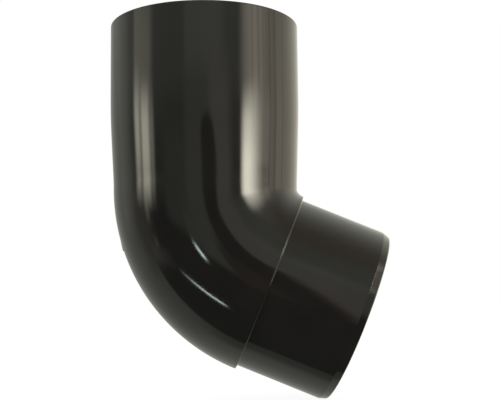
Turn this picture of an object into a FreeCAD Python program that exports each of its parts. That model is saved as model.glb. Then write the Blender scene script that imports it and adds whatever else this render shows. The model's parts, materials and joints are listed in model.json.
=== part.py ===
import FreeCAD, Part
import math
import os

# A push-fit elbow for round rainwater downpipe, moulded in one piece.
# The downpipe drops into the socket at the top and stands on a ledge inside it.
# Below the ledge the neck narrows a little, the body turns about a tight throat and stops at a shoulder.
# The thinner spigot beyond the shoulder pushes into the next socket down the wall.
#
# Frame: the origin is the middle of the pipe stop, +Z points up out of the socket,
# and the spigot leaves towards +X. All sizes are in millimetres and degrees.

# Pipe and push fit
PIPE_DIAMETER = 75.0        # outside of the downpipe, and of the spigot that stands in for it
PUSH_FIT_GAP = 0.4          # radial play between a pipe and the socket

# Socket
SOCKET_DEPTH = 39.5         # from the pipe stop to the mouth
SOCKET_WALL = 2.8
MOUTH_LEAD_LENGTH = 2.0     # bevel inside the mouth that guides the pipe in
MOUTH_LEAD_DEPTH = 0.8
MOUTH_EDGE_ROUNDING = 0.5
STOP_LEDGE = 0.7            # how far the pipe stop stands into the bore

# Neck between the pipe stop and the bend
NECK_LENGTH = 31.2
NECK_RUN_OUT = 2.0          # straight length that carries the narrowed neck into the bend
NECK_EASE = 9.0             # how far above and below the pipe stop the socket's wall turns into the cone
NECK_FOOT_EASE = 1.8        # how far above and below the cone's foot it turns into the run-out

# Bend
BEND_ANGLE = 67.5
BEND_WALL = 2.4
BORE_STEP = 0.7             # how much smaller the bend's bore radius is than the pipe's outside
THROAT_RADIUS = 4.2         # outside radius in the crook of the bend
OUTLET_RAMP_LENGTH = 6.0    # centre-line length over which the bore narrows to the spigot
SHOULDER_LAND = 0.3         # straight length that ends the bend at its shoulder
SHOULDER_BEVEL = 0.2

# Spigot
SPIGOT_LENGTH = 39.8        # from the shoulder to the mouth
SPIGOT_WALL = 2.3
SPIGOT_LEAD_LENGTH = 2.4    # rounded bevel outside the mouth that guides it into a socket
SPIGOT_LEAD_DEPTH = 1.2
SPIGOT_LEAD_EASE = 0.7
SPIGOT_RIM_EASE = 0.5

# Gate mark: the sheared stub of the moulding runner, on the back of the bend
GATE_BEND_ANGLE = 18.5      # where its proud end lies, from the start of the bend
GATE_LENGTH = 8.0
GATE_WIDTH = 4.0
GATE_HEIGHT = 0.3
GATE_SINK = 0.15            # how far its upper end dips under the skin of the bend
GATE_ROOT = 1.0             # how deep the stub is rooted in the wall

# Radii
pipe_radius = PIPE_DIAMETER / 2
socket_bore_radius = pipe_radius + PUSH_FIT_GAP
socket_radius = socket_bore_radius + SOCKET_WALL
neck_bore_radius = socket_bore_radius - STOP_LEDGE
bend_bore_radius = pipe_radius - BORE_STEP
bend_radius = bend_bore_radius + BEND_WALL
spigot_bore_radius = pipe_radius - SPIGOT_WALL
centre_line_radius = THROAT_RADIUS + bend_radius

# Levels and the pivot of the bend
# The spigot is drawn hanging straight below the socket, then swung about the pivot with the bend.
stop_z = 0.0
mouth_z = stop_z + SOCKET_DEPTH
bend_z = stop_z - NECK_LENGTH
neck_foot_z = bend_z + NECK_RUN_OUT
shoulder_z = bend_z - SHOULDER_LAND
spigot_end_z = shoulder_z - SPIGOT_LENGTH
up = FreeCAD.Vector(0, 0, 1)
bend_start = FreeCAD.Vector(0, 0, bend_z)
pivot = FreeCAD.Vector(centre_line_radius, 0, bend_z)
swing_axis = FreeCAD.Vector(0, -1, 0)


def outline(corners):
    """Closed face in the XZ plane through (radius, height, ease) corners.

    An arc rounds each corner, starting and ending the ease length away from it.
    """
    points = [FreeCAD.Vector(radius, 0, height) for radius, height, _ in corners]
    edges = []
    ends = []
    for index, (_, _, ease) in enumerate(corners):
        corner = points[index]
        back = (points[index - 1] - corner).normalize()
        ahead = (points[(index + 1) % len(points)] - corner).normalize()
        arrives = corner + back * ease
        leaves = corner + ahead * ease
        ends.append((arrives, leaves))
        if ease:
            half_angle = back.getAngle(ahead) / 2
            bite = ease * (1 / math.cos(half_angle) - math.tan(half_angle))
            edges.append(Part.Arc(arrives, corner + (back + ahead).normalize() * bite, leaves).toShape())
    for index, (_, leaves) in enumerate(ends):
        edges.append(Part.makeLine(leaves, ends[(index + 1) % len(ends)][0]))
    return Part.Face(Part.Wire(Part.__sortEdges__(edges)))


def turned(corners):
    """Solid of revolution about the socket's axis."""
    return outline(corners).revolve(FreeCAD.Vector(), up, 360)


def disc(radius):
    """Round face across the socket's axis where the bend starts."""
    return Part.Face(Part.Wire(Part.makeCircle(radius, bend_start, up)))


def swung(shape, angle):
    """Copy of a shape carried round the bend's pivot."""
    moved = shape.copy()
    moved.rotate(pivot, swing_axis, angle)
    return moved


def outer_form():
    """The outside of the elbow as one solid: socket, neck, bend and spigot."""
    socket_and_neck = turned([
        (0, mouth_z, 0),
        (socket_radius, mouth_z, MOUTH_EDGE_ROUNDING),
        (socket_radius, stop_z, NECK_EASE),
        (bend_radius, neck_foot_z, NECK_FOOT_EASE),
        (bend_radius, bend_z, 0),
        (0, bend_z, 0),
    ])
    bend = disc(bend_radius).revolve(pivot, swing_axis, BEND_ANGLE)
    spigot = turned([
        (0, bend_z, 0),
        (bend_radius, bend_z, 0),
        (bend_radius, shoulder_z + SHOULDER_BEVEL, 0),
        (bend_radius - SHOULDER_BEVEL, shoulder_z, 0),
        (pipe_radius, shoulder_z, 0),
        (pipe_radius, spigot_end_z + SPIGOT_LEAD_LENGTH, SPIGOT_LEAD_EASE),
        (pipe_radius - SPIGOT_LEAD_DEPTH, spigot_end_z, SPIGOT_RIM_EASE),
        (0, spigot_end_z, 0),
    ])
    return socket_and_neck.fuse([bend, swung(spigot, BEND_ANGLE)]).removeSplitter()


def waterway():
    """The hollow through the elbow, from the socket's mouth to the spigot's mouth."""
    socket_and_neck = turned([
        (0, mouth_z, 0),
        (socket_bore_radius + MOUTH_LEAD_DEPTH, mouth_z, 0),
        (socket_bore_radius, mouth_z - MOUTH_LEAD_LENGTH, 0),
        (socket_bore_radius, stop_z, 0),
        (neck_bore_radius, stop_z, 0),
        (bend_bore_radius, neck_foot_z, 0),
        (bend_bore_radius, bend_z, 0),
        (0, bend_z, 0),
    ])
    ramp_start = BEND_ANGLE - math.degrees(OUTLET_RAMP_LENGTH / centre_line_radius)
    bend = disc(bend_bore_radius).revolve(pivot, swing_axis, ramp_start)
    ramp_mouths = [
        swung(disc(bend_bore_radius), ramp_start).OuterWire,
        swung(disc(spigot_bore_radius), BEND_ANGLE).OuterWire,
    ]
    ramp = Part.makeLoft(ramp_mouths, True, True)
    spigot = Part.makeCylinder(spigot_bore_radius, bend_z - spigot_end_z, bend_start, -up)
    return socket_and_neck.fuse([bend, ramp, swung(spigot, BEND_ANGLE)])


def back_of_bend(height, angle):
    """Point on the mid-plane, the height above the outermost line of the bend."""
    reach = centre_line_radius + bend_radius + height
    turn = math.radians(angle)
    return pivot - FreeCAD.Vector(reach * math.cos(turn), 0, reach * math.sin(turn))


def gate_mark():
    """Sheared runner stub: it rises out of the skin at its upper end and stands proud at its lower end."""
    sunk_angle = GATE_BEND_ANGLE - math.degrees(GATE_LENGTH / (centre_line_radius + bend_radius))
    corners = [
        back_of_bend(-GATE_SINK, sunk_angle),
        back_of_bend(GATE_HEIGHT, GATE_BEND_ANGLE),
        back_of_bend(-GATE_ROOT, GATE_BEND_ANGLE),
        back_of_bend(-GATE_ROOT, sunk_angle),
    ]
    side = Part.Face(Part.makePolygon(corners + corners[:1]))
    side.translate(FreeCAD.Vector(0, -GATE_WIDTH / 2, 0))
    return side.extrude(FreeCAD.Vector(0, GATE_WIDTH, 0))


def elbow():
    """The whole moulding."""
    return outer_form().fuse(gate_mark()).cut(waterway()).removeSplitter()


os.makedirs("parts", exist_ok=True)
solid = elbow()
solid.exportStep("parts/downspout_elbow.step")
print("downspout_elbow: valid", solid.isValid(), "solids", len(solid.Solids), "mm3", round(solid.Volume))
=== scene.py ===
import bpy
import json
import math
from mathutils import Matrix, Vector


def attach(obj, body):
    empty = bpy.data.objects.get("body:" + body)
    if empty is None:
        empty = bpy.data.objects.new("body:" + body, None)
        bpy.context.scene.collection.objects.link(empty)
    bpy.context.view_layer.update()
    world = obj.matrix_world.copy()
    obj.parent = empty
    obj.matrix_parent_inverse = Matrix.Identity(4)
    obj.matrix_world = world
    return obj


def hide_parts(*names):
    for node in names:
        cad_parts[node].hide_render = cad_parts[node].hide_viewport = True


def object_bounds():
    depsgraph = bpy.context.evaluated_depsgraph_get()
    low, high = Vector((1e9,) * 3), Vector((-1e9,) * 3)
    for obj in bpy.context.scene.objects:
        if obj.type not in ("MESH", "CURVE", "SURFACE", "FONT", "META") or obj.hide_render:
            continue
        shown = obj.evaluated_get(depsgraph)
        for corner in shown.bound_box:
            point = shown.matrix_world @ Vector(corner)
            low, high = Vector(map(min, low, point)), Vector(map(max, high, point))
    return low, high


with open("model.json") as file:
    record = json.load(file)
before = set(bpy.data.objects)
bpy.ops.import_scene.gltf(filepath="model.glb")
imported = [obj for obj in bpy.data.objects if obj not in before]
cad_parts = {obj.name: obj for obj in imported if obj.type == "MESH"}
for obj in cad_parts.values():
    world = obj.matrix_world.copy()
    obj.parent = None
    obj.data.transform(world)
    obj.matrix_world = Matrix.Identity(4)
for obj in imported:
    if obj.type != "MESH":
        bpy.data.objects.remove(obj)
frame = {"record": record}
cadLow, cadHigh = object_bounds()
metre = 1000.0  # millimetres in a metre, every size below is in millimetres
hair = 1e-5  # slack where two values are compared or divided
print("frame: elbow stands", round((cadHigh.z - cadLow.z) * metre, 1), "mm high")

# Shape of the elbow
# The socket, the spigot and the bend are read from the frame, the rest of the moulding is set here.
elbowShape = {
    "mouthRounding": 0.5,  # outside edge of the socket's mouth
    "leadInLength": 2.0,  # bevel inside the socket's mouth
    "leadInDepth": 0.8,
    "stopLedge": 0.7,  # ledge the downpipe stands on
    "neckEase": 9.0,  # the socket's wall turns into the cone this far above and below the stop
    "neckFootEase": 1.8,
    "neckRunOut": 2.0,
    "bendRadius": 39.2,  # outside of the bend
    "bendWall": 2.4,
    "shoulderLand": 0.3,
    "shoulderRounding": 0.55,
    "spigotLength": 39.8,
    "spigotWall": 2.3,
    "spigotLead": 3.2,  # bevel outside the spigot's mouth
    "spigotLeadDepth": 1.0,
    "spigotLeadEase": 0.03,
    "spigotRimEase": 0.5,
    "rampLength": 6.0,  # the bore narrows to the spigot over this length
    "softCorner": 1.5,
    "innerCorner": 0.2,
    "partingHeight": 0.05,  # witness line of the two mould halves
    "partingWidth": 0.35,
    "partingStop": 1.0,  # it ends this far from the spigot's two ends
    "gateAngle": 18.5,  # proud end of the gate stub, in degrees from the start of the bend
    "gateLength": 8.0,
    "gateWidth": 4.0,
    "gateHeight": 0.3,
    "gateSink": 0.15,
    "throatRise": (0.32, 0.2),  # the neck ends this proud of the bend, beside the throat and in it
    "throatEase": 0.11,  # softens the line where the bend's curve meets the neck
    "throatStart": 6.0,  # the neck begins to stand proud this far below the stop
    "throatSide": (-0.05, 0.38),  # it fades in over these shares of the way round, the throat itself is 1
}
elbowMesh = {
    "straightStep": 2.0,  # longest face along the straight walls
    "bendStep": 0.8,  # the same along the bend's centre line
    "cornerStep": 15.0,  # degrees of a rounded corner in one face
    "holdingStep": 0.15,  # narrow faces beside a rounded corner keep the flats flat
    "roundStep": 1.5,  # degrees of the round in one face
    "partingSteps": (0.4, 0.7, 1.0, 1.6, 3.2),  # points beside a parting line, in half widths of it
    "gateSteps": (-0.8, -0.06, 0.0, 0.06, 0.8),  # degrees beside each side of the gate stub
    "gateEdge": 0.03,  # narrow faces on both sides of the stub's proud end
}


def mountOf(name):
    return next(mount for mount in frame["record"]["mounts"] if mount["name"] == name)


def centreLine(shape):
    # a straight socket and neck, an arc about the pivot, a straight spigot
    spigot = mountOf("spigot")
    outward = Vector(spigot["axis"]).normalized()
    turn = math.acos(-outward.z)
    land = shape["shoulderLand"]
    shoulder = Vector(spigot["pos_m"]) * metre - outward * (spigot["dims"]["length_mm"] / 2)
    radius = (shoulder.x - land * outward.x) / (1 - math.cos(turn))
    bendZ = shoulder.z - land * outward.z + radius * math.sin(turn)
    mouthZ = cadHigh.z * metre
    straight = mouthZ - bendZ
    return {
        "radius": radius,
        "turn": turn,
        "mouthZ": mouthZ,
        "bendZ": bendZ,
        "stop": mouthZ,
        "bendStart": straight,
        "bendEnd": straight + radius * turn,
        "shoulder": straight + radius * turn + land,
        "spigotEnd": straight + radius * turn + land + shape["spigotLength"],
    }


def stationAt(line, way):
    # the middle of the bore and the direction away from the pivot, this far along from the socket's mouth
    if way <= line["bendStart"]:
        return Vector((0, 0, line["mouthZ"] - way)), Vector((-1, 0, 0))
    turned = min((way - line["bendStart"]) / line["radius"], line["turn"])
    away = Vector((-math.cos(turned), 0, -math.sin(turned)))
    pivot = Vector((line["radius"], 0, line["bendZ"]))
    past = max(way - line["bendEnd"], 0)
    return pivot + away * line["radius"] + Vector((math.sin(turned), 0, -math.cos(turned))) * past, away


def sectionCorners(shape, line):
    # the wall's section as (way along the centre line, radius, ease of the corner), outside first
    socketRadius = -cadLow.x * metre
    socketBore = mountOf("socket")["dims"]["r_mm"]
    spigotRadius = mountOf("spigot")["dims"]["r_mm"]
    spigotBore = spigotRadius - shape["spigotWall"]
    bendRadius = shape["bendRadius"]
    bendBore = bendRadius - shape["bendWall"]
    neckFoot = line["bendStart"] - shape["neckRunOut"]
    end = line["spigotEnd"]
    inner = shape["innerCorner"]
    soft = shape["softCorner"]
    outside = [
        (0, socketRadius, shape["mouthRounding"]),
        (line["stop"], socketRadius, shape["neckEase"]),
        (neckFoot, bendRadius, shape["neckFootEase"]),
        (line["shoulder"], bendRadius, shape["shoulderRounding"]),
        (line["shoulder"], spigotRadius, inner),
        (end - shape["spigotLead"], spigotRadius, shape["spigotLeadEase"]),
        (end, spigotRadius - shape["spigotLeadDepth"], shape["spigotRimEase"]),
    ]
    inside = [
        (end, spigotBore, inner),
        (line["bendEnd"], spigotBore, soft),
        (line["bendEnd"] - shape["rampLength"], bendBore, soft),
        (neckFoot, bendBore, soft),
        (line["stop"], socketBore - shape["stopLedge"], inner),
        (line["stop"], socketBore, inner),
        (shape["leadInLength"], socketBore, inner),
        (0, socketBore + shape["leadInDepth"], inner),
    ]
    return outside, inside


def roundedCorner(before, corner, after, ease):
    # points on the arc that rounds one corner of the section
    back = (before - corner).normalized()
    ahead = (after - corner).normalized()
    opening = back.angle(ahead)
    turn = math.pi - opening
    middle = corner + (back + ahead).normalized() * (ease / math.cos(opening / 2))
    first = corner + back * ease - middle
    side = 1 if back.x * ahead.y - back.y * ahead.x < 0 else -1
    arcLength = first.length * turn
    pieces = max(2, math.ceil(math.degrees(turn) / elbowMesh["cornerStep"]))
    pieces = max(pieces, math.ceil(arcLength / elbowMesh["straightStep"]))
    points = []
    for piece in range(pieces + 1):
        angle = side * turn * piece / pieces
        cosine = math.cos(angle)
        sine = math.sin(angle)
        spoke = Vector((first.x * cosine - first.y * sine, first.x * sine + first.y * cosine))
        points.append(middle + spoke)
    return points


def wallRun(line, start, end, marks):
    # points between two rounded corners: a narrow face at each end, even faces between, and the marked ways
    run = (end - start).length
    hold = min(elbowMesh["holdingStep"], run / 4)
    along = (end - start).normalized()
    stops = [hold, run - hold]
    inBend = line["bendStart"] < (start.x + end.x) / 2 < line["bendEnd"]
    step = elbowMesh["bendStep"] if inBend else elbowMesh["straightStep"]
    count = math.ceil((run - 2 * hold) / step)
    stops += [hold + (run - 2 * hold) * piece / count for piece in range(1, count)]
    if abs(along.x) > abs(along.y):  # not on the walls' ends
        stops += [(mark - start.x) / along.x for mark in marks]
    kept = sorted(stop for stop in stops if 0 < stop < run)
    return [start + along * stop for stop in kept]


def gateWays(shape, line):
    # the gate stub's two ends along the centre line
    reach = line["radius"] + shape["bendRadius"]
    low = line["bendStart"] + line["radius"] * math.radians(shape["gateAngle"])
    return low - shape["gateLength"] * line["radius"] / reach, low


def wallSection(shape, line):
    outside, inside = sectionCorners(shape, line)
    corners = outside + inside
    gateTop, gateFoot = gateWays(shape, line)
    edge = elbowMesh["gateEdge"]
    marks = [gateTop, gateFoot - edge, gateFoot, gateFoot + edge]
    arcs = []
    for index, (way, radius, ease) in enumerate(corners):
        before = Vector(corners[index - 1][:2])
        after = Vector(corners[(index + 1) % len(corners)][:2])
        arcs.append(roundedCorner(before, Vector((way, radius)), after, ease))
    points = []
    for index, arc in enumerate(arcs):
        onOutside = index < len(outside)
        points += [(point.x, point.y, onOutside) for point in arc]
        following = arcs[(index + 1) % len(arcs)]
        run = wallRun(line, arc[-1], following[0], marks if onOutside else [])
        points += [(point.x, point.y, onOutside and index + 1 < len(outside)) for point in run]
    return points


def roundAngles(shape):
    # angles round the bore, closer together at the two parting lines and along the gate stub's sides
    half = math.degrees(shape["partingWidth"] / 2 / shape["bendRadius"])
    gateSide = math.degrees(shape["gateWidth"] / 2 / shape["bendRadius"])
    close = [0] + [half * step for step in elbowMesh["partingSteps"]]
    close += [gateSide + step for step in elbowMesh["gateSteps"]]
    count = math.ceil((90 - close[-1]) / elbowMesh["roundStep"])
    quarter = close + [close[-1] + (90 - close[-1]) * step / count for step in range(1, count + 1)]
    halfTurn = quarter + [180 - angle for angle in reversed(quarter[:-1])]
    return halfTurn + [360 - angle for angle in reversed(halfTurn[1:-1])]


def markRise(shape, line, way, radius, angle):
    # how far the moulding marks stand proud: the parting line, or the gate stub
    fromLine = min(angle, 360 - angle, abs(angle - 180))
    across = radius * math.radians(fromLine)
    half = shape["partingWidth"] / 2
    rise = shape["partingHeight"] * (0.5 + 0.5 * math.cos(math.pi * min(across / half, 1)))
    top, foot = gateWays(shape, line)
    onBack = min(angle, 360 - angle) < 90
    if not (onBack and top <= way <= foot and across <= shape["gateWidth"] / 2 + hair):
        return rise
    share = (way - top) / (foot - top)
    stub = -shape["gateSink"] + (shape["gateHeight"] + shape["gateSink"]) * share
    return max(rise, stub + across * across / (2 * radius))


def smoothShare(value, start, end):
    share = min(max((value - start) / (end - start), 0), 1)
    return share * share * (3 - 2 * share)


def throatRise(shape, line, way, angle):
    # on the throat side the neck runs straight on, until the bend's curve meets it
    inward = -math.cos(math.radians(angle))
    side = smoothShare(inward, *shape["throatSide"])
    neckFoot = line["bendStart"] - shape["neckRunOut"]
    share = smoothShare(way, line["stop"] + shape["throatStart"], neckFoot)
    curve = line["radius"] - shape["bendRadius"] * inward
    along = max(way - line["bendStart"], 0) * curve / line["radius"]
    beside, within = shape["throatRise"]
    proud = beside + (within - beside) * smoothShare(inward, shape["throatSide"][1], 1)
    proud = proud * share - max(inward, 0) * along * along / (2 * curve)
    return side * (proud + math.hypot(proud, shape["throatEase"] * share)) / 2


def outsideRise(shape, line, way, radius, angle):
    # how far the outside stands proud of its plain form
    brim = shape["partingWidth"]
    stop = shape["partingStop"]
    onBody = brim < way < line["shoulder"] - brim
    onSpigot = line["shoulder"] + stop < way < line["spigotEnd"] - stop
    rise = markRise(shape, line, way, radius, angle) if onBody or onSpigot else 0
    if onBody:
        rise += throatRise(shape, line, way, angle)
    return rise


def buildElbow(shape):
    line = centreLine(shape)
    section = wallSection(shape, line)
    angles = roundAngles(shape)
    points = []
    bore = []
    for way, radius, onOutside in section:
        middle, away = stationAt(line, way)
        for angle in angles:
            rise = outsideRise(shape, line, way, radius, angle) if onOutside else 0
            reach = (radius + rise) / metre
            turned = math.radians(angle)
            sideways = Vector((0, reach * math.sin(turned), 0))
            points.append(middle / metre + away * reach * math.cos(turned) - sideways)
            bore.append(0.0 if onOutside else 1.0)
    across = len(angles)
    down = len(section)
    faces = []
    for row in range(down):
        below = (row + 1) % down
        for column in range(across):
            beside = (column + 1) % across
            faces.append((row * across + column, below * across + column,
                          below * across + beside, row * across + beside))
    mesh = bpy.data.meshes.new("downspoutElbow")
    mesh.from_pydata(points, [], faces)
    mesh.polygons.foreach_set("use_smooth", [True] * len(faces))
    boreLayer = mesh.attributes.new("bore", "FLOAT", "POINT")
    boreLayer.data.foreach_set("value", bore)
    unwrapElbow(mesh, section, angles)
    mesh.update()
    elbow = bpy.data.objects.new("downspoutElbow", mesh)
    bpy.context.scene.collection.objects.link(elbow)
    print("elbow:", len(section), "rings of", across, "points,", len(faces) * 2, "triangles")
    return elbow


def unwrapElbow(mesh, section, angles):
    # the skin unrolled: once round is the width, once along the wall's section is the height
    lengths = [0.0]
    for index, point in enumerate(section):
        following = section[(index + 1) % len(section)]
        lengths.append(lengths[-1] + math.dist(point[:2], following[:2]))
    whole = lengths[-1]
    across = len(angles)
    layer = mesh.uv_layers.new(name="OFBake")
    flat = []
    for row in range(len(section)):
        top = lengths[row] / whole
        bottom = lengths[row + 1] / whole
        for column in range(across):
            left = angles[column] / 360
            right = angles[column + 1] / 360 if column + 1 < across else 1.0
            flat += [left, top, left, bottom, right, bottom, right, top]
    layer.data.foreach_set("uv", flat)


# Wiring of shader nodes
def plugIn(tree, socket, value):
    if isinstance(value, bpy.types.NodeSocket):
        tree.links.new(value, socket)
    else:
        socket.default_value = value


def reckon(tree, operation, *values):
    node = tree.nodes.new("ShaderNodeMath")
    node.operation = operation
    for socket, value in zip(node.inputs, values):
        plugIn(tree, socket, value)
    return node.outputs[0]


def easeOver(tree, value, start, end):
    # 0 before start, 1 after end, smooth between
    node = tree.nodes.new("ShaderNodeMapRange")
    node.interpolation_type = "SMOOTHSTEP"
    plugIn(tree, node.inputs["Value"], value)
    node.inputs["From Min"].default_value = start
    node.inputs["From Max"].default_value = end
    return node.outputs["Result"]


def multiply(tree, first, *others):
    for other in others:
        first = reckon(tree, "MULTIPLY", first, other)
    return first


def add(tree, first, *others):
    for other in others:
        first = reckon(tree, "ADD", first, other)
    return first


def tinted(tree, level, tint):
    node = tree.nodes.new("ShaderNodeVectorMath")
    node.operation = "SCALE"
    node.inputs[0].default_value = tint
    plugIn(tree, node.inputs["Scale"], level)
    return node.outputs[0]


def blendLight(tree, *lights):
    total = lights[0]
    for light in lights[1:]:
        node = tree.nodes.new("ShaderNodeVectorMath")
        node.operation = "ADD"
        tree.links.new(total, node.inputs[0])
        tree.links.new(light, node.inputs[1])
        total = node.outputs[0]
    return total


# Finish of the moulding
pvcFinish = {
    "darkBrown": (0.0305, 0.0283, 0.0266, 1),
    "lightBrown": (0.0362, 0.0336, 0.0316, 1),
    "mottleSize": 18.0,
    "mottleDetail": 4.0,
    "mottleSpread": (0.35, 0.65),
    "roughness": (0.07, 0.10),
    "roughnessSize": 6.0,
    "boreRoughness": 0.16,  # added inside the bore
    "index": 1.5,
    "peelSize": 1.6,  # orange peel of the moulded skin
    "peelDepth": 0.00012,
    "peelDetail": 1.0,
    "rippleSize": 14.0,
    "rippleDepth": 0.0015,
    "rippleDetail": 0.0,
}


def noiseAt(tree, place, size, detail=2.0):
    node = tree.nodes.new("ShaderNodeTexNoise")
    node.inputs["Scale"].default_value = metre / size
    node.inputs["Detail"].default_value = detail
    tree.links.new(place, node.inputs["Vector"])
    return node.outputs["Fac"]


def brownPvc(finish):
    material = bpy.data.materials.new("brownPvc")
    material.use_nodes = True
    tree = material.node_tree
    shader = tree.nodes["Principled BSDF"]
    shader.inputs["IOR"].default_value = finish["index"]
    place = tree.nodes.new("ShaderNodeTexCoord").outputs["Object"]
    mottle = noiseAt(tree, place, finish["mottleSize"], finish["mottleDetail"])
    mottle = easeOver(tree, mottle, *finish["mottleSpread"])
    colour = tree.nodes.new("ShaderNodeMix")
    colour.data_type = "RGBA"
    tree.links.new(mottle, colour.inputs["Factor"])
    colour.inputs[6].default_value = finish["darkBrown"]
    colour.inputs[7].default_value = finish["lightBrown"]
    tree.links.new(colour.outputs[2], shader.inputs["Base Color"])
    bore = tree.nodes.new("ShaderNodeAttribute")
    bore.attribute_name = "bore"
    low, high = finish["roughness"]
    skin = multiply(tree, noiseAt(tree, place, finish["roughnessSize"]), high - low)
    skin = add(tree, low, skin)
    rough = add(tree, skin, multiply(tree, bore.outputs["Fac"], finish["boreRoughness"]))
    tree.links.new(rough, shader.inputs["Roughness"])
    ripple = tree.nodes.new("ShaderNodeBump")
    ripple.inputs["Distance"].default_value = finish["rippleDepth"] / metre
    swell = noiseAt(tree, place, finish["rippleSize"], finish["rippleDetail"])
    tree.links.new(swell, ripple.inputs["Height"])
    peel = tree.nodes.new("ShaderNodeBump")
    peel.inputs["Distance"].default_value = finish["peelDepth"] / metre
    grain = noiseAt(tree, place, finish["peelSize"], finish["peelDetail"])
    tree.links.new(grain, peel.inputs["Height"])
    tree.links.new(ripple.outputs["Normal"], peel.inputs["Normal"])
    tree.links.new(peel.outputs["Normal"], shader.inputs["Normal"])
    return material


elbow = buildElbow(elbowShape)
elbow.data.materials.append(brownPvc(pvcFinish))
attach(elbow, "root")
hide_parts("downspout_elbow")
print("finish: glossy brown PVC")

# Light tent
# Angles are degrees away from the view axis, across to the right and up, as the elbow's gloss mirrors them.
# A patch rises over the first two of its four angles and falls over the last two.
warmWhite = (1.0, 0.91, 0.73)
creamWhite = (1.0, 0.97, 0.79)
coolWhite = (0.85, 1.0, 0.94)
tent = {
    "roomTint": (0.97, 1.0, 0.87),
    "roomLow": 0.05,
    "roomHigh": 0.46,
    "roomRise": (-8, 27),
    "ceilingTint": (0.88, 0.77, 0.59),
    "ceilingStart": (45, 62),
    "wallStart": (87.6, 90.2),  # where the room in front gives way to the pale table and backdrop
    "wallStartHigh": (78, 125),  # the same overhead, where the two run together
    "wallHigh": (0.1, 0.5),
    "wallStartLeft": (91, 112),  # the same at the left, above the table
    "wallLeftAcross": (-0.5, -0.8),
    "wallLeftUp": (-0.52, -0.3),
    "wallTint": (0.98, 1.01, 0.89),
    "wallLeft": 0.46,
    "wallRight": 1.1,
    "wallAcross": (-0.1, 0.95),
    "wallUp": (-0.9, -0.4),
    "wallDown": (-0.7, -0.95),
    "wallFoot": 0.28,  # the table close by, and further off behind the elbow
    "wallFootFar": 0.54,
    "wallFootRise": (96, 107),
    "wallWarmTint": (1.0, 0.95, 0.78),
    "wallWarmth": (0.5, 0.95),
    "fill": (0.225, 0.232, 0.224, 1),  # even light that the colour under the gloss gathers
    "backdrop": (1, 1, 1, 1),  # what the camera itself sees
}
tentPatches = {
    "rightGlow": {"across": (40, 51, 60, 90), "up": (8, 14, 24, 42), "level": 1.5,
                  "tint": warmWhite},
    "topFill": {"across": (-24, -18, 16, 30), "up": (10, 16, 27, 42), "level": 0.24,
                "tint": tent["roomTint"]},
    "leftWall": {"across": (-128, -116, -104, -94), "up": (-30, 0, 60, 90), "level": 0.16,
                 "tint": tent["wallTint"]},
    "leftHaze": {"across": (-108, -92, -82, -64), "up": (-46, -30, 2, 12), "level": 0.23,
                 "tint": (1.05, 1.0, 0.88)},
    "leftLowGlow": {"across": (-84, -74, -66, -52), "up": (-36, -29, -26, -20), "level": 0.16,
                    "tint": (1.1, 1.0, 0.88)},
    "leftLowSpot": {"across": (-76, -73, -71, -68), "up": (-25, -22, -20, -16), "level": 0.26,
                    "tint": (1.25, 0.95, 0.85)},
    "leftTail": {"across": (-81, -77.5, -75.5, -72), "up": (-14, -5, 0, 5), "level": 0.7,
                 "tint": warmWhite},
}
tentCurtain = {"across": (46, 64, 100, 125), "up": (-25, -8, 6, 60), "level": 1.65, "tint": warmWhite,
               "foldSize": 4.5, "foldShade": (0.5, 0.62), "foldDepth": 0.5}
tentTube = {"at": (-42.3, -37.3), "tilt": -24.7, "across": (-15.5, 5, 11, 14.5),
            "up": (-1.1, -0.34, 0.34, 1.1), "level": 14.0, "tint": coolWhite}


def patchMask(tree, across, up, patch):
    left, leftIn, rightIn, right = patch["across"]
    low, lowIn, highIn, high = patch["up"]
    if "crown" in patch:  # a domed top
        fromMiddle = reckon(tree, "SUBTRACT", across, (leftIn + rightIn) / 2)
        fromMiddle = reckon(tree, "DIVIDE", fromMiddle, (right - left) / 2)
        up = add(tree, up, multiply(tree, fromMiddle, fromMiddle, patch["crown"]))
    return multiply(
        tree,
        easeOver(tree, across, left, leftIn),
        easeOver(tree, across, right, rightIn),
        easeOver(tree, up, low, lowIn),
        easeOver(tree, up, high, highIn),
    )


def tubeMask(tree, across, up, tube):
    # a patch turned about its own middle
    tilt = math.radians(tube["tilt"])
    fromX = reckon(tree, "SUBTRACT", across, tube["at"][0])
    fromZ = reckon(tree, "SUBTRACT", up, tube["at"][1])
    along = add(tree, multiply(tree, fromX, math.cos(tilt)), multiply(tree, fromZ, math.sin(tilt)))
    beside = add(tree, multiply(tree, fromX, -math.sin(tilt)), multiply(tree, fromZ, math.cos(tilt)))
    return patchMask(tree, along, beside, tube)


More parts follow.
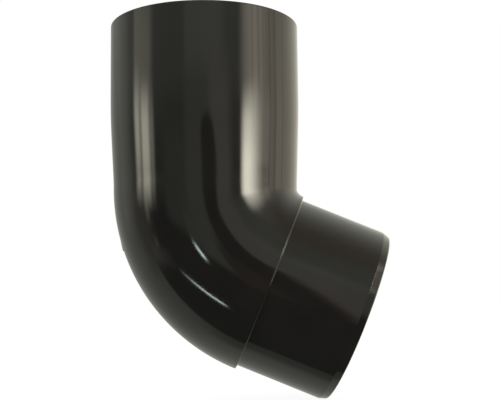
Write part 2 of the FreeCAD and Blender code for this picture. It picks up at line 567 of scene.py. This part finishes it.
def hangTent():
    world = bpy.data.worlds.new("lightTent")
    bpy.context.scene.world = world
    world.use_nodes = True
    tree = world.node_tree
    tree.nodes.clear()
    looking = tree.nodes.new("ShaderNodeTexCoord").outputs["Generated"]
    parts = tree.nodes.new("ShaderNodeSeparateXYZ")
    tree.links.new(looking, parts.inputs[0])
    sideways, ahead, upward = parts.outputs
    back = multiply(tree, ahead, -1.0)
    off = reckon(tree, "DEGREES", reckon(tree, "ARCCOSINE", back))
    flat = add(tree, multiply(tree, sideways, sideways), multiply(tree, upward, upward))
    flat = reckon(tree, "MAXIMUM", reckon(tree, "SQRT", flat), hair)
    towardsRight = reckon(tree, "DIVIDE", sideways, flat)
    towardsTop = reckon(tree, "DIVIDE", upward, flat)
    across = multiply(tree, off, towardsRight)
    up = multiply(tree, off, towardsTop)
    # a dim room in front under a warm ceiling, a pale table and wall behind, brighter to the right
    high = easeOver(tree, towardsTop, *tent["wallHigh"])
    behindHigh = multiply(tree, high, easeOver(tree, off, *tent["wallStartHigh"]))
    atLeft = easeOver(tree, towardsRight, *tent["wallLeftAcross"])
    atLeft = multiply(tree, atLeft, easeOver(tree, towardsTop, *tent["wallLeftUp"]))
    crisp = reckon(tree, "SUBTRACT", 1.0, atLeft)
    crisp = multiply(tree, crisp, easeOver(tree, off, *tent["wallStart"]))
    soft = multiply(tree, atLeft, easeOver(tree, off, *tent["wallStartLeft"]))
    behindLow = multiply(tree, reckon(tree, "SUBTRACT", 1.0, high), add(tree, crisp, soft))
    behind = add(tree, behindHigh, behindLow)
    room = multiply(tree, easeOver(tree, up, *tent["roomRise"]), tent["roomHigh"] - tent["roomLow"])
    room = multiply(tree, add(tree, room, tent["roomLow"]), reckon(tree, "SUBTRACT", 1.0, behind))
    ceiling = multiply(tree, room, easeOver(tree, up, *tent["ceilingStart"]))
    rightward = easeOver(tree, towardsRight, *tent["wallAcross"])
    rightward = multiply(tree, rightward, easeOver(tree, towardsTop, *tent["wallUp"]))
    down = easeOver(tree, towardsTop, *tent["wallDown"])
    foot = easeOver(tree, off, *tent["wallFootRise"])
    foot = multiply(tree, foot, tent["wallFootFar"] - tent["wallFoot"])
    foot = multiply(tree, add(tree, foot, tent["wallFoot"] - tent["wallLeft"]), down)
    wall = multiply(tree, rightward, tent["wallRight"] - tent["wallLeft"])
    wall = multiply(tree, add(tree, wall, add(tree, foot, tent["wallLeft"])), behind)
    warmWall = multiply(tree, wall, easeOver(tree, towardsRight, *tent["wallWarmth"]))
    lights = [
        tinted(tree, reckon(tree, "SUBTRACT", room, ceiling), tent["roomTint"]),
        tinted(tree, ceiling, tent["ceilingTint"]),
        tinted(tree, reckon(tree, "SUBTRACT", wall, warmWall), tent["wallTint"]),
        tinted(tree, warmWall, tent["wallWarmTint"]),
    ]
    # a curtain with narrow shaded folds hangs at the right
    around = reckon(tree, "DEGREES", reckon(tree, "ARCTAN2", sideways, back))
    curtain = patchMask(tree, around, up, tentCurtain)
    folds = tree.nodes.new("ShaderNodeTexNoise")
    folds.noise_dimensions = "1D"
    folds.inputs["Scale"].default_value = 1 / tentCurtain["foldSize"]
    tree.links.new(around, folds.inputs["W"])
    shade = easeOver(tree, folds.outputs["Fac"], *tentCurtain["foldShade"])
    shade = multiply(tree, shade, tentCurtain["foldDepth"])
    cloth = multiply(tree, reckon(tree, "SUBTRACT", 1.0, shade), curtain, tentCurtain["level"])
    uncovered = tree.nodes.new("ShaderNodeVectorMath")
    uncovered.operation = "SCALE"
    tree.links.new(blendLight(tree, *lights), uncovered.inputs[0])
    tree.links.new(reckon(tree, "SUBTRACT", 1.0, curtain), uncovered.inputs["Scale"])
    lights = [uncovered.outputs[0], tinted(tree, cloth, tentCurtain["tint"])]
    for patch in tentPatches.values():
        glow = multiply(tree, patchMask(tree, across, up, patch), patch["level"])
        lights.append(tinted(tree, glow, patch["tint"]))
    tube = multiply(tree, tubeMask(tree, across, up, tentTube), tentTube["level"])
    lights.append(tinted(tree, tube, tentTube["tint"]))
    # the gloss mirrors the tent, the colour under it and the camera see plain light
    lit = tree.nodes.new("ShaderNodeBackground")
    tree.links.new(blendLight(tree, *lights), lit.inputs["Color"])
    rays = tree.nodes.new("ShaderNodeLightPath")
    surface = lit.outputs[0]
    for ray, colour in (("Is Diffuse Ray", tent["fill"]), ("Is Camera Ray", tent["backdrop"])):
        plain = tree.nodes.new("ShaderNodeBackground")
        plain.inputs["Color"].default_value = colour
        mix = tree.nodes.new("ShaderNodeMixShader")
        tree.links.new(rays.outputs[ray], mix.inputs["Fac"])
        tree.links.new(surface, mix.inputs[1])
        tree.links.new(plain.outputs[0], mix.inputs[2])
        surface = mix.outputs[0]
    output = tree.nodes.new("ShaderNodeOutputWorld")
    tree.links.new(surface, output.inputs["Surface"])


# Soft panels stand round the elbow and show only in its gloss.
# Each stands at its own distance from the socket's axis, facing so many degrees round from the front.
# Like a patch, it fades in over two of its four measures and out over the others, in millimetres.
# A panel with a place of its own is measured from there, and may be tilted.
softPanels = [
    {"name": "rightPanel", "facing": 90, "distance": 150, "level": 16.0, "tint": (1.0, 0.96, 0.80),
     "across": (-181, -139, -130, -55), "up": (-33, -18, -16, 53)},
    {"name": "rightLowPanel", "facing": 90, "distance": 154, "level": 0.45, "tint": tent["roomTint"],
     "across": (-190, -150, 20, 90), "up": (-130, -100, -60, -40)},
    {"name": "rightCornerCard", "facing": 90, "distance": 149, "level": 1.1, "tint": warmWhite,
     "across": (-98, -88, -48, -36), "up": (-60, -48, -28, -20)},
    {"name": "rightFadeSheet", "facing": 90, "distance": 151, "level": 2.3, "tint": warmWhite,
     "across": (-95, -75, -55, -25), "up": (-20, -12, 5, 45)},
    {"name": "rightLowSheet", "facing": 90, "distance": 152, "level": 2.4, "tint": creamWhite,
     "across": (-95, -70, 30, 80), "up": (-138, -120, -62, -50)},
    {"name": "leftPanel", "facing": -90, "distance": 150, "level": 5.7, "tint": creamWhite,
     "across": (48, 62, 78, 92), "up": (-58, -5, 4, 50)},
    {"name": "leftWingPanel", "facing": -90, "distance": 151, "level": 2.0, "tint": creamWhite,
     "across": (70, 80, 100, 114), "up": (-58, -5, 4, 50)},
    {"name": "leftSlimPanel", "facing": -90, "distance": 152, "level": 4.4, "tint": creamWhite,
     "across": (22, 37, 42, 57), "up": (-52, 3, 8, 56)},
    {"name": "leftHighPanel", "facing": -90, "distance": 153, "level": 1.3, "tint": creamWhite,
     "across": (20, 34, 84, 114), "up": (0, 30, 60, 150)},
    {"name": "frontLamp", "facing": 0, "distance": 384, "level": 15.0, "tint": coolWhite,
     "across": (-29, 0, 16, 36), "up": (-10, -4, 6, 13), "at": (-175.5, -136), "tilt": -41.5},
    {"name": "frontGapFoot", "facing": 0, "distance": 387, "level": 0.11, "tint": (1.35, 0.95, 0.8),
     "across": (-54, -32, 10, 45), "up": (-175, -150, -80, -30)},
    {"name": "frontGap", "facing": 0, "distance": 388, "level": 0.05, "tint": (1.2, 0.95, 0.85),
     "across": (-32, -8, 66, 100), "up": (-220, -170, 28, 44), "crown": 24},
    {"name": "frontWarmEdge", "facing": 0, "distance": 390, "level": 0.24, "tint": (1.4, 0.92, 0.75),
     "across": (50, 62, 80, 104), "up": (-160, -130, -40, -15)},
    {"name": "frontLampGlow", "facing": 0, "distance": 391, "level": 0.36, "tint": tent["roomTint"],
     "across": (-220, -195, -130, -110), "up": (-128, -108, -60, -20)},
    {"name": "frontLeftSheet", "facing": 0, "distance": 392, "level": 0.39, "tint": tent["roomTint"],
     "across": (-172, -118, 20, 75), "up": (-146, -114, 80, 125)},
    {"name": "frontRightSheet", "facing": 0, "distance": 394, "level": 0.63, "tint": (1.0, 0.965, 0.85),
     "across": (-20, 10, 170, 290), "up": (-190, -150, 90, 150)},
    {"name": "frontFarSheet", "facing": 0, "distance": 396, "level": 0.27, "tint": tent["roomTint"],
     "across": (-480, -350, -120, -90), "up": (-135, -75, 10, 60)},
]


def hangPanel(panel):
    facing = math.radians(panel["facing"])
    aside, height = panel.get("at", (0, 0))
    left, _, _, right = panel["across"]
    low, _, _, high = panel["up"]
    points = []
    for across, up in ((left, low), (right, low), (right, high), (left, high)):
        points.append(Vector((across, 0, up)) / metre)
    mesh = bpy.data.meshes.new(panel["name"])
    mesh.from_pydata(points, [], [(0, 1, 2, 3)])
    sheet = bpy.data.objects.new(panel["name"], mesh)
    bpy.context.scene.collection.objects.link(sheet)
    sheet.rotation_euler = (0, -math.radians(panel.get("tilt", 0)), facing)
    along = Vector((math.cos(facing), math.sin(facing), 0))
    outward = Vector((math.sin(facing), -math.cos(facing), 0))
    sheet.location = (outward * panel["distance"] + along * aside + Vector((0, 0, height))) / metre
    sheet.visible_camera = False
    sheet.visible_diffuse = False
    sheet.visible_shadow = False
    material = bpy.data.materials.new(panel["name"])
    material.use_nodes = True
    tree = material.node_tree
    tree.nodes.clear()
    parts = tree.nodes.new("ShaderNodeSeparateXYZ")
    tree.links.new(tree.nodes.new("ShaderNodeTexCoord").outputs["Object"], parts.inputs[0])
    across = multiply(tree, parts.outputs["X"], metre)
    up = multiply(tree, parts.outputs["Z"], metre)
    emission = tree.nodes.new("ShaderNodeEmission")
    emission.inputs["Color"].default_value = (*panel["tint"], 1)
    emission.inputs["Strength"].default_value = panel["level"]
    clear = tree.nodes.new("ShaderNodeBsdfTransparent")
    both = tree.nodes.new("ShaderNodeMixShader")
    tree.links.new(patchMask(tree, across, up, panel), both.inputs["Fac"])
    tree.links.new(clear.outputs[0], both.inputs[1])
    tree.links.new(emission.outputs[0], both.inputs[2])
    output = tree.nodes.new("ShaderNodeOutputMaterial")
    tree.links.new(both.outputs[0], output.inputs["Surface"])
    mesh.materials.append(material)


hangTent()
for panel in softPanels:
    hangPanel(panel)
print("light: tent with", len(softPanels), "soft panels")

# Floor
floorSet = {
    "gap": 0.05,  # under the elbow's lowest edge
    "reach": 3000.0,
    "paper": (0.4, 0.4, 0.4, 1),
    "roughness": 0.9,
    "shine": 0.0,
    "glow": 0.92,
    "glowTint": (1, 1, 1, 1),
    "mottle": 0.03,
    "mottleSize": 60.0,
}


def layFloor(settings):
    reach = settings["reach"] / metre
    z = cadLow.z - settings["gap"] / metre
    mesh = bpy.data.meshes.new("paleFloor")
    corners = [(-reach, -reach, z), (reach, -reach, z), (reach, reach, z), (-reach, reach, z)]
    mesh.from_pydata(corners, [], [(0, 1, 2, 3)])
    floor = bpy.data.objects.new("paleFloor", mesh)
    bpy.context.scene.collection.objects.link(floor)
    floor.visible_glossy = False
    floor.visible_diffuse = False
    material = bpy.data.materials.new("paleFloor")
    material.use_nodes = True
    tree = material.node_tree
    shader = tree.nodes["Principled BSDF"]
    shader.inputs["Base Color"].default_value = settings["paper"]
    shader.inputs["Roughness"].default_value = settings["roughness"]
    shader.inputs["Specular IOR Level"].default_value = settings["shine"]
    shader.inputs["Emission Color"].default_value = settings["glowTint"]
    place = tree.nodes.new("ShaderNodeTexCoord").outputs["Object"]
    mottle = multiply(tree, noiseAt(tree, place, settings["mottleSize"]), settings["mottle"])
    tree.links.new(add(tree, mottle, settings["glow"]), shader.inputs["Emission Strength"])
    mesh.materials.append(material)


layFloor(floorSet)
print("floor: pale, under the spigot's lowest edge")

# Camera
cameraSet = {
    "place": (16.02, -390.25, -78.23),
    "turn": (96.1655, 0.6950, -0.3789),  # degrees about x, y and z
    "lens": 65.58,
    "sensor": 36.0,
    "nearest": 10.0,  # nothing closer than this is drawn
}


def setCamera(settings):
    lens = bpy.data.cameras.new("photoCamera")
    lens.lens = settings["lens"]
    lens.sensor_width = settings["sensor"]
    lens.clip_start = settings["nearest"] / metre
    camera = bpy.data.objects.new("photoCamera", lens)
    bpy.context.scene.collection.objects.link(camera)
    camera.location = Vector(settings["place"]) / metre
    camera.rotation_euler = [math.radians(angle) for angle in settings["turn"]]
    bpy.context.scene.camera = camera
    bpy.context.scene.view_settings.view_transform = "Standard"


setCamera(cameraSet)
print("camera: set to the photo's view")

bpy.context.view_layer.update()
